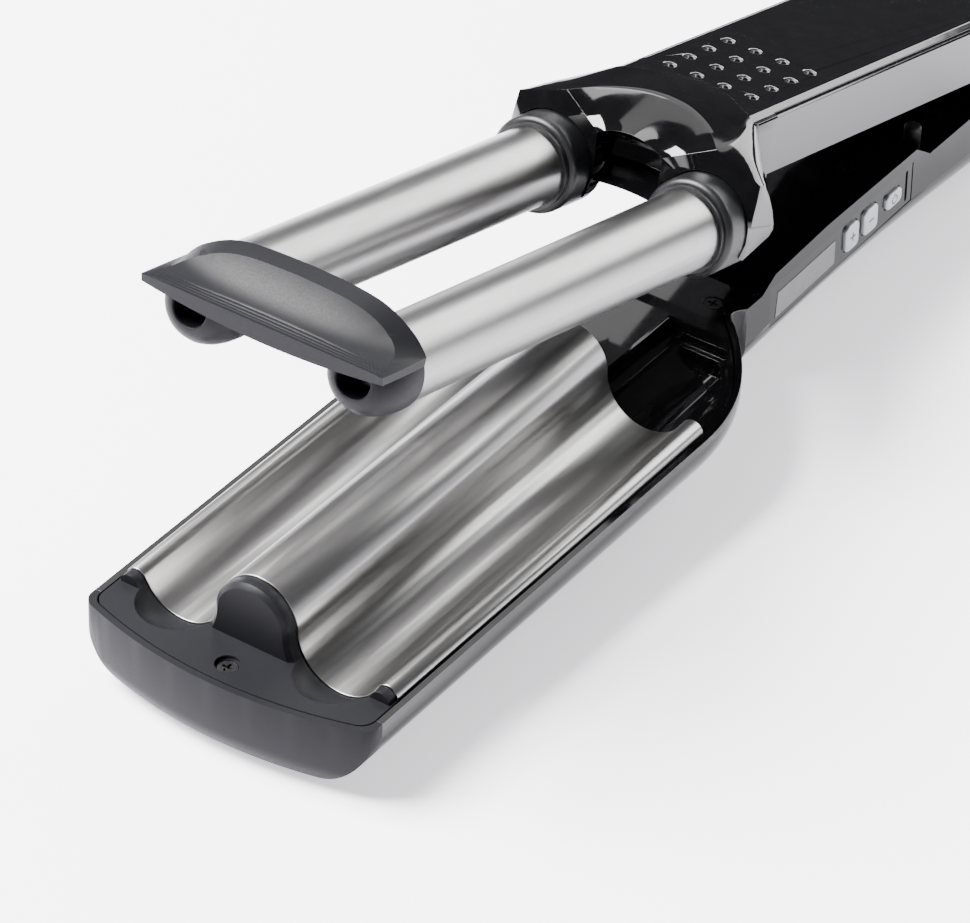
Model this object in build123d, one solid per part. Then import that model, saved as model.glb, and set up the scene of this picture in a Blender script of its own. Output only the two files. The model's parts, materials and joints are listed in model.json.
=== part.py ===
from build123d import *
import os
from math import cos, radians, sin, sqrt

# Hair waver: a lower arm with a heated wave plate and an upper arm with two heated barrels,
# hinged at the rear.
#
# Construction frame, mm: x = 0 is the centre plane, y = 0 the front edge of the wave plate,
# z = 0 the bottom of its troughs, +Y towards the hinge, +Z up. The upper arm is drawn closed
# and turned open about the hinge pin. export_node() moves every piece to the stored frame,
# whose origin is the bottom centre of the box around the open tool.

# ---- driving dimensions ----
AXIS_X = 21.4          # barrels and troughs stand this far from the centre plane
AXIS_Z = 11.04         # height of the barrel axes above the trough bottoms, closed
BARREL_R = 9.5
TROUGH_R = 11.2
RIDGE_R = AXIS_X - TROUGH_R
PLATE_LEN = 120.2
PLATE_T = 1.2
TROUGH_SWEEP = 64.7    # degrees of trough past its lowest line, outwards
LIP_R = 2.83
PIVOT_Y = 279.0
PIVOT_Z = -4.9
PIN_R = 2.5
PIN_CLEARANCE = 0.05
LUG_R = 6.0
OPEN_DEG = 14.3

# lower arm shell
HEAD_HALF = 38.9
HANDLE_HALF = 20.0
BASE_Z = -14.5
RIM_Z = 5.2
WALL = 1.6
FRONT_Y = -19.6
SHELL_JOINTS_Y = (-8.5, 158.5)   # satin front, glossy head, glossy handle
FRONT_RADIUS = 112.7   # plan radius of the curved front wall
FRONT_EDGE_R = 7.5     # its rounded lower edge
SHOULDER_Y = 118.0     # the head starts to narrow here
SHOULDER_R = 52.8
NECK_Y = 165.0
REAR_Y = 303.0
DECK_DROP = 0.6        # the deck lies this far below the shell's rim
DECK_T = 2.2
DECK_GAP = 0.35
POCKET_R = 13.2
SPINE_TOP = 8.8
TONGUE_SLOT = (271.0, 288.8)

# display and buttons on the +X side
PANEL_Y = (175.5, 240.0)
PANEL_Z = (-3.0, 8.4)
PANEL_T = 1.2
PANEL_TILT = 1.7
PANEL_PIVOT = (208.0, 2.8)
BUTTONS = {            # name: (centre y, width, height)
    "button_plus": (211.4, 5.9, 7.4),
    "button_minus": (219.9, 6.3, 7.2),
    "button_power": (230.6, 7.0, 4.2),
}

# upper arm, drawn closed; heights with REL are above the barrel axes
BARREL_Y = (2.4, 122.6)
COLLAR_R = 11.75
COLLAR_BORE_GAP = 0.05
CUP_R = 10.0
CUP_FRONT_Y = -9.8
BRIDGE_HALF = 31.5
BRIDGE_FRONT_Y = -14.8
BRIDGE_REAR_Y = 1.5
BRIDGE_WALL = 1.9
YOKE_FRONT_Y = 131.5
YOKE_HALF = 33.3
YOKE_SPLIT_REL = -1.5
YOKE_FLOOR_T = 1.55
ARM_Y = (160.0, 288.0)
ARM_BOTTOM_Z = 15.0
ARM_EDGE_Z = 29.7
ARM_TOP_Z = 31.0
ARM_WALL = 1.8
BUMP_X = (-11.4, -3.8, 3.8, 11.4)
BUMP_Y = (162.4, 171.3, 180.2, 189.1)
BUMP_R = 2.7           # ball radius of a grip dot
BUMP_H = 0.6

# places that more than one piece needs
ARM_SCREWS = ((0.0, 172.0), (0.0, 236.0))
DECK_SCREWS = ((11.5, 163.0), (-11.5, 163.0), (11.5, 264.0), (-11.5, 264.0))
CAP_SCREW_Y = -12.0
SCOOP_Y = -1.2         # the scoops in the tip cap take in the nose cups
SCOOP_R = TROUGH_R + 0.3
BUMPER_X = 12.5
BUMPER_Y = 251.5
BUMPER_TOP_Z = 11.0
GLAND_Z = -3.4
GLAND_R = 5.2
GLAND_END_Y = 308.0
GLAND_BORE_R = 3.6

# stored frame
SHIFT = (0.0, -(FRONT_Y + GLAND_END_Y) / 2, -BASE_Z)


# ---- helpers ----
def slab_xz(face, y0, y1):
    return extrude(Plane.XZ.offset(-y1) * face, y1 - y0)


def slab_yz(face, x0, x1):
    return extrude(Plane.YZ.offset(x0) * face, x1 - x0)


def slab_xy(face, z0, z1):
    return extrude(Plane.XY.offset(z0) * face, z1 - z0)


def box(x, y, z):
    size = (x[1] - x[0], y[1] - y[0], z[1] - z[0])
    return Pos((x[0] + x[1]) / 2, (y[0] + y[1]) / 2, (z[0] + z[1]) / 2) * Box(*size)


def rod_x(y, z, r, x0, x1):
    return Pos((x0 + x1) / 2, y, z) * Rot(0, 90, 0) * Cylinder(r, x1 - x0)


def rod_y(x, z, r, y0, y1):
    return Pos(x, (y0 + y1) / 2, z) * Rot(90, 0, 0) * Cylinder(r, y1 - y0)


def rod_z(x, y, r, z0, z1):
    return Pos(x, y, (z0 + z1) / 2) * Cylinder(r, z1 - z0)


def poly(*points):
    return make_face(Polyline(*points, close=True))


def mirrored(shape):
    return mirror(shape, about=Plane.YZ)


def both_sides(shape):
    return shape + mirrored(shape)


def turned_about_y(profile, x, z):
    """Solid of revolution about a line along Y; the profile is drawn as (radius, y)."""
    solid = revolve(Plane.XY * profile, Axis.Y)
    return Pos(x, 0, z) * solid


def screw(x, y, top_z, length, head_r=2.3, shank_r=1.1, head_t=1.4):
    """Cross-head screw with its head up."""
    body = rod_z(x, y, head_r, top_z - head_t, top_z) + rod_z(x, y, shank_r, top_z - length, top_z)
    for turn in (0, 90):
        body -= Pos(x, y, top_z) * Rot(0, 0, turn) * Box(2.8, 0.6, 1.4)
    return body


def open_arm(shape):
    return shape.rotate(Axis((0, PIVOT_Y, PIVOT_Z), (1, 0, 0)), -OPEN_DEG)


def on_panel(shape):
    return shape.rotate(Axis((0, PANEL_PIVOT[0], PANEL_PIVOT[1]), (1, 0, 0)), PANEL_TILT)


def export_node(name, shape):
    placed = [Pos(*SHIFT) * solid for solid in shape.solids()]
    whole = placed[0] if len(placed) == 1 else Compound(children=placed)
    export_step(whole, f"parts/{name}.step")


# ---- lower arm shell ----
def shoulder_half(y):
    """Half width of the head at y, from the shoulder arc, never under the handle's."""
    if y <= SHOULDER_Y:
        return HEAD_HALF
    rise = min(y - SHOULDER_Y, SHOULDER_R)
    return max(HANDLE_HALF, HEAD_HALF - SHOULDER_R + sqrt(SHOULDER_R**2 - rise**2))


def planform(inset):
    """Outline of the lower arm seen from above, moved inwards by inset."""
    head = HEAD_HALF - inset
    handle = HANDLE_HALF - inset
    front = FRONT_Y + inset
    radius = FRONT_RADIUS - inset
    corner_y = front + radius - sqrt(radius**2 - head**2)
    arc_x = HEAD_HALF - SHOULDER_R
    arc_r = SHOULDER_R - inset
    neck_y = SHOULDER_Y + sqrt(arc_r**2 - (handle - arc_x) ** 2)
    mid = radians(25)
    rear = REAR_Y - inset
    side = [
        Line((head, corner_y), (head, SHOULDER_Y)),
        ThreePointArc(
            (head, SHOULDER_Y),
            (arc_x + arc_r * cos(mid), SHOULDER_Y + arc_r * sin(mid)),
            (handle, neck_y),
        ),
        Line((handle, neck_y), (handle, rear)),
    ]
    edges = side + [edge.mirror(Plane.YZ) for edge in side]
    edges.append(ThreePointArc((-head, corner_y), (0, front), (head, corner_y)))
    edges.append(Line((-handle, rear), (handle, rear)))
    face = make_face(edges)
    face = fillet([v for v in face.vertices() if abs(v.Y - corner_y) < 0.01], 4.0)
    return fillet([v for v in face.vertices() if abs(v.Y - rear) < 0.01], 6.0)


def arm_section(y, inset):
    """Section of the lower arm at y: flat bottom, elliptical lower corners, open upwards."""
    share = (shoulder_half(y) - HANDLE_HALF) / (HEAD_HALF - HANDLE_HALF)
    half = shoulder_half(y) - inset
    bottom = underside(y) + inset
    corner_x = 9.0 + 15.0 * share - inset * 0.5
    corner_z = 9.0 + 8.5 * share - inset * 0.5
    top = 24.0
    edges = [
        Line((-half, top), (-half, bottom + corner_z)),
        EllipticalCenterArc((-half + corner_x, bottom + corner_z), corner_x, corner_z, 180, arc_size=90),
        Line((-half + corner_x, bottom), (half - corner_x, bottom)),
        EllipticalCenterArc((half - corner_x, bottom + corner_z), corner_x, corner_z, 270, arc_size=90),
        Line((half, bottom + corner_z), (half, top)),
        Line((half, top), (-half, top)),
    ]
    return Plane.XZ.offset(-y) * make_face(edges)


def underside(y):
    """Height of the flat bottom: level under the head, arched under the handle."""
    if y <= SHOULDER_Y:
        return BASE_Z
    arch_mid = 215.0
    arch_half = 97.0
    reach = min(abs(y - arch_mid) / arch_half, 1.0)
    return BASE_Z + 4.2 * (1 - reach**2) ** 2


def front_rounding(inset):
    """Disc whose edge gives the head its curved front wall and rounded lower edge."""
    radius = FRONT_RADIUS - inset
    bottom = BASE_Z + inset
    edge_r = FRONT_EDGE_R - inset * 0.5
    corner = (radius - edge_r, bottom + edge_r)
    profile = make_face([
        Line((0, bottom), (radius - edge_r, bottom)),
        CenterArc(corner, edge_r, 270, 90),
        Line((radius, bottom + edge_r), (radius, 24)),
        Line((radius, 24), (0, 24)),
        Line((0, 24), (0, bottom)),
    ])
    disc = Pos(0, FRONT_Y + FRONT_RADIUS, 0) * revolve(Plane.XZ * profile, Axis.Z)
    return disc + box((-60, 60), (60, REAR_Y + 20), (BASE_Z - 5, 24))


def rim_line():
    """Side view of the shell's rim, front to rear, as (y, z)."""
    return [
        (-40, RIM_Z), (147, RIM_Z), (157, 7.6), (171.3, 7.6), (177, 10.9), (200, 12.3),
        (241, 12.3), (247.8, 7.6), (REAR_Y + 20, 7.6),
    ]


def below_rim(drop, floor=-40.0):
    line = [(y, z - drop) for y, z in rim_line()]
    return slab_yz(poly(*line, (REAR_Y + 20, floor), (-40, floor)), -60, 60)


def lower_block(inset):
    """The lower arm as a full block with open top height, moved inwards by inset."""
    head = extrude(arm_section(SHOULDER_Y, inset), SHOULDER_Y + 30, dir=(0, -1, 0))
    shoulder_ys = (SHOULDER_Y, 124, 130, 136, 141, 146, 150, 154, 158, NECK_Y)
    shoulder = loft([arm_section(y, inset) for y in shoulder_ys])
    handle_ys = (NECK_Y, 180, 197, 215, 233, 250, 268, 285, REAR_Y + 10)
    handle = loft([arm_section(y, inset) for y in handle_ys])
    plan = slab_xy(planform(inset), BASE_Z - 5, 24)
    return (head + shoulder + handle) & plan & front_rounding(inset)


def make_lower_shell(outer, inner):
    shell = (outer - inner) & below_rim(0)
    bosses = both_sides(rod_x(PIVOT_Y, PIVOT_Z, 6.2, 12.6, HANDLE_HALF - WALL + 0.4))
    bosses += rod_z(0, CAP_SCREW_Y, 3.2, BASE_Z + 1, -2.6)
    for x, y in DECK_SCREWS:
        bosses += rod_z(x, y, 2.8, BASE_Z + 2, 4.0)
    shell += bosses & outer
    for x, y in DECK_SCREWS + ((0.0, CAP_SCREW_Y),):
        shell -= rod_z(x, y, 1.15, -9.0, 6.0)
    shell -= rod_x(PIVOT_Y, PIVOT_Z, PIN_R, -HANDLE_HALF - 1, HANDLE_HALF + 1)
    shell -= both_sides(rod_x(PIVOT_Y, PIVOT_Z, 3.6, HANDLE_HALF - 1.0, HANDLE_HALF + 1))
    shell -= on_panel(box((HANDLE_HALF - 3, HANDLE_HALF + 2), PANEL_Y, PANEL_Z))
    return shell - rod_y(0, GLAND_Z, GLAND_R + 0.05, REAR_Y - 4, REAR_Y + 4)


# ---- wave plate and what heats it ----
def lip_centre():
    sweep = radians(TROUGH_SWEEP)
    reach = TROUGH_R + LIP_R
    return (AXIS_X + reach * sin(sweep), AXIS_Z - reach * cos(sweep))


def wave_edges(inset):
    """The plate's section seen along Y, lowered into the metal by inset."""
    lip = lip_centre()
    edge_x = lip[0] + LIP_R - inset
    right = [
        CenterArc((AXIS_X, AXIS_Z), TROUGH_R + inset, 180, 90 + TROUGH_SWEEP),
        CenterArc(lip, LIP_R - inset, 0, 90 + TROUGH_SWEEP),
        Line((edge_x, lip[1]), (edge_x, 2.0)),
    ]
    ridge = CenterArc((0, AXIS_Z), RIDGE_R - inset, 0, 180)
    return [ridge] + right + [edge.mirror(Plane.YZ) for edge in right]


def under_wave(inset):
    """Everything below the wave surface moved down by inset."""
    edge_x = lip_centre()[0] + LIP_R - inset
    frame = [
        Line((edge_x, 2.0), (edge_x, -6)),
        Line((edge_x, -6), (-edge_x, -6)),
        Line((-edge_x, -6), (-edge_x, 2.0)),
    ]
    return make_face(wave_edges(inset) + frame)


def make_wave_plate():
    outer_x = lip_centre()[0] + LIP_R
    inner_x = outer_x - PLATE_T
    feet = [Line((outer_x, 2.0), (inner_x, 2.0)), Line((-outer_x, 2.0), (-inner_x, 2.0))]
    sheet = make_face(wave_edges(0) + wave_edges(PLATE_T) + feet)
    return slab_xz(sheet, 0, PLATE_LEN)


def make_tip_cap(cap_block):
    """Front cap: flat deck, scoops that carry the troughs on, ridge dome and lip ends."""
    cap = cap_block & box((-60, 60), (-30, -0.15), (-2.4, RIM_Z))
    cap -= both_sides(Pos(AXIS_X, SCOOP_Y, AXIS_Z) * Sphere(SCOOP_R))
    cap -= both_sides(rod_y(AXIS_X, AXIS_Z, SCOOP_R, SCOOP_Y, 0))
    dome = slab_xz(under_wave(0.3), -4.0, -0.15) & box((-12, 12), (-5, 0), (RIM_Z - 3, 30))
    front = dome.edges().filter_by(lambda e: abs(e.center().Y + 4.0) < 0.01 and e.center().Z > RIM_Z)
    cap += chamfer(front, 1.1)
    lips = box((31.0, 36.3), (-2.8, -0.15), (0, 12)) & slab_xz(under_wave(0.3), -2.8, -0.15)
    cap += both_sides(lips)
    cap += rod_z(0, CAP_SCREW_Y, 3.4, -2.5, 0.0)
    cap -= rod_z(0, CAP_SCREW_Y, 2.9, RIM_Z - 0.9, RIM_Z + 2)
    cap -= rod_z(0, CAP_SCREW_Y, 2.5, RIM_Z - 2.4, RIM_Z + 2)
    return cap - rod_z(0, CAP_SCREW_Y, 1.3, -5, RIM_Z)


def make_heater_carrier():
    """Insulating tray: a floor, ribs that stop short of the plate, and feet on the shell."""
    body = box((-31, 31), (4, 116), (-7.2, -5.4))
    body += box((-4, 4), (6.5, 113.5), (-5.6, 12.0))
    ribs = box((-31, 31), (4, 7), (-5.6, -1.6)) + box((-31, 31), (113, 116), (-5.6, -1.6))
    body += ribs
    return body + both_sides(box((6, 10), (20, 100), (BASE_Z + WALL, -7.0)))


def make_plate_heater():
    """Heating element under the right trough, with its two solder lugs."""
    strip = box((AXIS_X - 6, AXIS_X + 6), (14, 106), (-5.3, -1.5))
    strip -= slab_xz(wave_band(), 0, PLATE_LEN)
    for x in (AXIS_X - 3, AXIS_X + 1):
        strip += box((x, x + 2), (106, 111), (-4.6, -3.8))
    return strip


def wave_band():
    """Section of the plate grown by a hair on its lower side, to cut what lies against it."""
    edge_x = lip_centre()[0] + LIP_R
    cap = [Line((edge_x + 1, 2.0), (edge_x + 1, 30)), Line((edge_x + 1, 30), (-edge_x - 1, 30))]
    cap += [Line((-edge_x - 1, 30), (-edge_x - 1, 2.0))]
    low = edge_x - PLATE_T - 0.05
    cap += [Line((edge_x + 1, 2.0), (low, 2.0)), Line((-edge_x - 1, 2.0), (-low, 2.0))]
    return make_face(wave_edges(PLATE_T + 0.05) + cap)


def make_thermistor():
    bead = rod_y(0, 13.3, 1.2, 56, 63)
    for x in (-0.7, 0.7):
        bead += box((x - 0.2, x + 0.2), (62, 74), (13.1, 13.5))
    return bead


def make_thermal_fuse():
    return rod_y(0, 14.0, 1.9, 84, 96) + rod_y(0, 14.0, 0.5, 78, 102)


# ---- deck between the plate and the hinge ----
def make_deck_cover(deck_block):
    zone = box((-60, 60), (PLATE_LEN + 0.5, REAR_Y - 5), (-20, 30))
    deck = below_rim(DECK_DROP) - below_rim(DECK_DROP + DECK_T)
    deck += box((-60, 60), (PLATE_LEN + 0.5, 158), (-4.0, RIM_Z - DECK_DROP))
    deck &= deck_block & zone
    deck += box((-8.6, 8.6), (PLATE_LEN + 0.5, 151), (0, SPINE_TOP))
    shallow = both_sides(rod_y(AXIS_X, AXIS_Z, POCKET_R + 1.2, 110, 150.5))
    shallow &= slab_xy(planform(3.4), 2.6, 30)
    deep = both_sides(rod_y(AXIS_X, AXIS_Z, POCKET_R, 110, 149)) & slab_xy(planform(4.8), -20, 30)
    deck -= shallow + deep
    deck -= box((-11.6, 11.6), TONGUE_SLOT, (-20, 30))
    for x, y in DECK_SCREWS:
        deck -= rod_z(x, y, 2.5, 5.6, 12) + rod_z(x, y, 1.3, 0, 12)
    return deck - both_sides(rod_z(BUMPER_X, BUMPER_Y, 1.2, 0, 12))


def make_deck_screws():
    return [screw(x, y, 6.8, 10.5, head_t=1.2) for x, y in DECK_SCREWS]


def make_stop_bumpers():
    deck_top = 7.6 - DECK_DROP
    bumpers = []
    for x in (-BUMPER_X, BUMPER_X):
        post = rod_z(x, BUMPER_Y, 2.2, deck_top, BUMPER_TOP_Z)
        post = fillet(post.faces().sort_by(Axis.Z)[-1].edges(), 0.7)
        bumpers.append(post + rod_z(x, BUMPER_Y, 1.15, deck_top - 2.6, deck_top + 0.1))
    return bumpers


# ---- electronics and controls ----
def make_control_board():
    return box((12.6, 14.2), (174, 242), (-6.5, 5.5))


def make_tact_switches():
    return [box((14.2, 15.7), (y - 1.8, y + 1.8), (1.0, 4.6)) for y, _, _ in BUTTONS.values()]


def make_display_module():
    body = box((14.2, 16.6), (178, 203.6), (-2.4, 5.2))
    return body + box((16.6, 17.2), (180, 202), (-1.4, 4.4))


def window_face(grow):
    """Display window seen along X: straight rear end, front end raked forward at its top."""
    return poly(
        (178.0 - grow, -1.6 - grow), (178.9 - grow, 5.4 + grow),
        (204.4 + grow, 5.6 + grow), (204.4 + grow, -1.2 - grow),
    )


def button_face(name, grow):
    y, width, height = BUTTONS[name]
    return Pos(y, 3.0) * RectangleRounded(width + 2 * grow, height + 2 * grow, 1.6)


def make_control_bezel():
    gap = 0.1
    outer = HANDLE_HALF - 0.15
    length = (PANEL_Y[0] + gap, PANEL_Y[1] - gap)
    height = (PANEL_Z[0] + gap, PANEL_Z[1] - gap)
    panel = box((outer - PANEL_T, outer), length, height)
    panel -= slab_yz(window_face(0.08), 10, 30)
    for name in BUTTONS:
        panel -= slab_yz(button_face(name, 0.25), 10, 30)
    panel -= slab_yz(Pos(237.3, 2.7) * SlotOverall(9.0, 1.0, rotation=90), outer - 0.7, 30)
    return on_panel(panel)


def make_display_window():
    return on_panel(slab_yz(window_face(0), HANDLE_HALF - 1.5, HANDLE_HALF - 0.05))


def make_button(name):
    """Button cap with a flange behind the bezel that keeps it in."""
    back = HANDLE_HALF - 0.15 - PANEL_T
    y, width, height = BUTTONS[name]
    cap = slab_yz(button_face(name, 0), back - 0.3, HANDLE_HALF + 0.7)
    cap = fillet(cap.faces().sort_by(Axis.X)[-1].edges(), 0.45)
    rim = Pos(y, 3.0) * RectangleRounded(width + 1.4, height + 1.4, 1.4)
    flange = slab_yz(rim, back - 0.9, back - 0.1)
    stem = box((16.4, back - 0.8), (y - 1.0, y + 1.0), (2.0, 4.0))
    return on_panel(cap + flange + stem)


# ---- hinge and cord gland ----
def make_hinge_pin():
    return rod_x(PIVOT_Y, PIVOT_Z, PIN_R, -HANDLE_HALF + 1.0, HANDLE_HALF - 1.0)


def make_pin_cap():
    cap = rod_x(PIVOT_Y, PIVOT_Z, 3.55, HANDLE_HALF - 0.98, HANDLE_HALF + 0.25)
    return fillet(cap.faces().sort_by(Axis.X)[-1].edges(), 0.3)


def make_hinge_spring():
    """Torsion spring on the pin: close-wound coil with one leg on each arm."""
    wire = 0.6
    coil_r = PIN_R + 1.3
    coil = both_sides(rod_x(PIVOT_Y, PIVOT_Z, coil_r + wire, 0, 3.6))
    coil -= rod_x(PIVOT_Y, PIVOT_Z, coil_r - wire, -5, 5)
    for step in range(-2, 4):
        groove = Pos(step * 1.2 - 0.6, PIVOT_Y, PIVOT_Z) * Rot(0, 90, 0) * Torus(coil_r + wire, 0.3)
        coil -= groove
    low_leg = rod_y(-3.0, PIVOT_Z - coil_r, wire, PIVOT_Y - 22, PIVOT_Y)
    high_leg = rod_y(3.0, PIVOT_Z + coil_r, wire, PIVOT_Y - 17, PIVOT_Y)
    high_leg = high_leg.rotate(Axis((0, PIVOT_Y, PIVOT_Z), (1, 0, 0)), -80)
    return coil + low_leg + high_leg


def make_swivel_gland():
    """Turning cord outlet: a sleeve with a flange held between the rear wall and the retainer."""
    profile = make_face([
        Line((GLAND_BORE_R, REAR_Y - 4.4), (GLAND_R + 2.0, REAR_Y - 4.4)),
        Line((GLAND_R + 2.0, REAR_Y - 4.4), (GLAND_R + 2.0, REAR_Y - WALL - 0.1)),
        Line((GLAND_R + 2.0, REAR_Y - WALL - 0.1), (GLAND_R, REAR_Y - WALL - 0.1)),
        Line((GLAND_R, REAR_Y - WALL - 0.1), (GLAND_R, GLAND_END_Y - 1.0)),
        Line((GLAND_R, GLAND_END_Y - 1.0), (GLAND_R - 1.0, GLAND_END_Y)),
        Line((GLAND_R - 1.0, GLAND_END_Y), (GLAND_BORE_R, GLAND_END_Y)),
        Line((GLAND_BORE_R, GLAND_END_Y), (GLAND_BORE_R, REAR_Y - 4.4)),
    ])
    return turned_about_y(profile, 0, GLAND_Z)


def make_swivel_retainer():
    ring = rod_y(0, GLAND_Z, GLAND_R + 2.6, REAR_Y - 6.6, REAR_Y - 4.5)
    return ring - rod_y(0, GLAND_Z, GLAND_BORE_R + 0.6, REAR_Y - 8, REAR_Y - 4)


# ---- upper arm, drawn closed ----
def make_barrel():
    front, rear = BARREL_Y
    tube = rod_y(AXIS_X, AXIS_Z, BARREL_R, front, rear + 6)
    return tube - rod_y(AXIS_X, AXIS_Z, BARREL_R - PLATE_T, front - 1, rear + 7)


def make_barrel_heater():
    front, rear = BARREL_Y
    core = rod_y(AXIS_X, AXIS_Z, 5.5, front + 10, rear - 8)
    for y in (front + 12, rear - 14):
        core += rod_y(AXIS_X, AXIS_Z, BARREL_R - PLATE_T - 0.02, y, y + 4)
    return core


def make_collar():
    """Heat-resistant ring at the root of a barrel, stepped towards the front."""
    front = BARREL_Y[1]
    profile = make_face([
        Line((BARREL_R + 0.02, front), (10.3, front)),
        Line((10.3, front), (10.3, front + 1.4)),
        ThreePointArc((10.3, front + 1.4), (11.33, front + 1.85), (COLLAR_R, front + 2.9)),
        Line((COLLAR_R, front + 2.9), (COLLAR_R, front + 14)),
        Line((COLLAR_R, front + 14), (BARREL_R + 0.02, front + 14)),
        Line((BARREL_R + 0.02, front + 14), (BARREL_R + 0.02, front)),
    ])
    return turned_about_y(profile, AXIS_X, AXIS_Z)


def make_nose_cup():
    """Rounded end of a barrel, with a deep hole for its screw."""
    front, root = CUP_FRONT_Y, BARREL_Y[0]
    plug_r = BARREL_R - PLATE_T - 0.03
    profile = make_face([
        Line((4.3, front), (5.6, front)),
        ThreePointArc((5.6, front), (8.9, front + 1.9), (CUP_R, front + 5.8)),
        Line((CUP_R, front + 5.8), (CUP_R, root - 0.02)),
        Line((CUP_R, root - 0.02), (plug_r, root - 0.02)),
        Line((plug_r, root - 0.02), (plug_r, root + 6)),
        Line((plug_r, root + 6), (1.5, root + 6)),
        Line((1.5, root + 6), (1.5, -3.0)),
        Line((1.5, -3.0), (4.3, -3.0)),
        Line((4.3, -3.0), (4.3, front)),
    ])
    return turned_about_y(profile, AXIS_X, AXIS_Z)


def make_nose_screw():
    head = rod_y(AXIS_X, AXIS_Z, 2.8, -4.6, -3.0) + rod_y(AXIS_X, AXIS_Z, 1.45, -3.0, 11)
    for size in ((3.4, 1.4, 0.7), (0.7, 1.4, 3.4)):
        head -= Pos(AXIS_X, -4.6, AXIS_Z) * Box(*size)
    return head


def arch_face(shrink):
    """Section of the bridge seen along Y: a flat-footed arch, made smaller by shrink."""
    half = BRIDGE_HALF - shrink
    foot_z = AXIS_Z + 1.9
    crown = [
        (half, 5.7 - shrink),
        (28.0 - shrink, 9.7 - shrink * 0.7),
        (23.0 - shrink * 0.6, 12.35 - shrink),
        (17.5 - shrink * 0.3, 14.1 - shrink),
        (9.0, 15.0 - shrink),
        (0, 15.2 - shrink),
    ]
    right = [(x, AXIS_Z + z) for x, z in crown]
    left = [(-x, z) for x, z in right[-2::-1]]
    return make_face([
        Spline(*right, *left),
        Line(left[-1], (-half, foot_z - shrink)),
        Line((-half, foot_z - shrink), (half, foot_z - shrink)),
        Line((half, foot_z - shrink), right[0]),
    ])


def scoop_side(drop):
    """Side view of the room under the bridge's top: band at the rear, scoop, front lip."""
    rear = BRIDGE_REAR_Y + 2
    band_front = BRIDGE_REAR_Y - 4.5
    foot = (BRIDGE_FRONT_Y - 1.0, AXIS_Z + 1.9)
    scoop = [
        (band_front, AXIS_Z + 14.3 - drop),
        (band_front - 1.6, AXIS_Z + 10.8 - drop),
        (band_front - 4.6, AXIS_Z + 7.9 - drop),
        (band_front - 8.5, AXIS_Z + 6.3 - drop),
        (BRIDGE_FRONT_Y, AXIS_Z + 5.7 - drop),
    ]
    line = [
        Line((rear, AXIS_Z + 15.6 - drop), scoop[0]),
        Spline(*scoop),
        Line(scoop[-1], foot),
        Line(foot, (rear, AXIS_Z + 1.9)),
        Line((rear, AXIS_Z + 1.9), (rear, AXIS_Z + 15.6 - drop)),
    ]
    return make_face(line)


def make_bridge():
    """Cool tip that joins the two nose cups: arched band, hollowed top, thick front lip."""
    front = BRIDGE_FRONT_Y + 2.8
    side = BRIDGE_HALF - 2.2
    outer = slab_xz(arch_face(0), BRIDGE_FRONT_Y - 1, BRIDGE_REAR_Y)
    outer &= slab_yz(scoop_side(0), -40, 40)
    hollow = slab_xz(arch_face(BRIDGE_WALL), front, BRIDGE_REAR_Y + 1)
    hollow += box((-side, side), (front, 3), (AXIS_Z, AXIS_Z + 4))
    room = slab_yz(scoop_side(BRIDGE_WALL), -40, 40)
    room += box((-40, 40), (front, 3), (5, AXIS_Z + 2.5))
    bridge = outer - (hollow & room)
    for x in (-AXIS_X, AXIS_X):
        bridge -= rod_y(x, AXIS_Z, CUP_R + 0.1, front, BRIDGE_REAR_Y + 1)
        bridge -= rod_y(x, AXIS_Z, 4.3, BRIDGE_FRONT_Y - 3, BRIDGE_REAR_Y)
    return bridge


def yoke_plan():
    """Outline of the yoke from above: wide at the collars, drawn in to the handle."""
    right = [
        Line((8.9, YOKE_FRONT_Y - 2.0), (20.6, YOKE_FRONT_Y + 1.0)),
        Line((20.6, YOKE_FRONT_Y + 1.0), (YOKE_HALF, YOKE_FRONT_Y + 1.0)),
        Line((YOKE_HALF, YOKE_FRONT_Y + 1.0), (YOKE_HALF, 144.0)),
        Bezier((YOKE_HALF, 144.0), (31.5, 151.0), (24.0, 153.0), (HANDLE_HALF + 0.3, ARM_Y[0])),
    ]
    edges = right + [edge.mirror(Plane.YZ) for edge in right]
    edges.append(Line((8.9, YOKE_FRONT_Y - 2.0), (-8.9, YOKE_FRONT_Y - 2.0)))
    edges.append(Line((HANDLE_HALF + 0.3, ARM_Y[0]), (-HANDLE_HALF - 0.3, ARM_Y[0])))
    return make_face(edges)


def yoke_front_view():
    low = AXIS_Z + YOKE_SPLIT_REL
    return make_face([
        Line((-YOKE_HALF, low), (-YOKE_HALF, AXIS_Z + 12.7)),
        Line((-YOKE_HALF, AXIS_Z + 12.7), (-20.6, AXIS_Z + 17.3)),
        ThreePointArc((-20.6, AXIS_Z + 17.3), (0, AXIS_Z + 20.5), (20.6, AXIS_Z + 17.3)),
        Line((20.6, AXIS_Z + 17.3), (YOKE_HALF, AXIS_Z + 12.7)),
        Line((YOKE_HALF, AXIS_Z + 12.7), (YOKE_HALF, low)),
        Line((YOKE_HALF, low), (-YOKE_HALF, low)),
    ])


def collar_bores(shape):
    for x in (-AXIS_X, AXIS_X):
        shape -= rod_y(x, AXIS_Z, COLLAR_R + COLLAR_BORE_GAP, 110, BARREL_Y[1] + 14.1)
    return shape


def make_yoke_upper():
    body = slab_xz(yoke_front_view(), YOKE_FRONT_Y - 3, ARM_Y[0]) & slab_xy(yoke_plan(), 0, 40)
    front = YOKE_FRONT_Y - 6
    above = poly((front, AXIS_Z + 12.2), (144.0, AXIS_Z + 20.6), (144.0, 40), (front, 40))
    body -= slab_yz(above, -20.6, 20.6)
    cavity_z = (ARM_BOTTOM_Z - 3, AXIS_Z + 14.5)
    cavity = box((-17, 17), (BARREL_Y[1] + 16, ARM_Y[0] + 1), cavity_z)
    return collar_bores(body - cavity)


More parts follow.
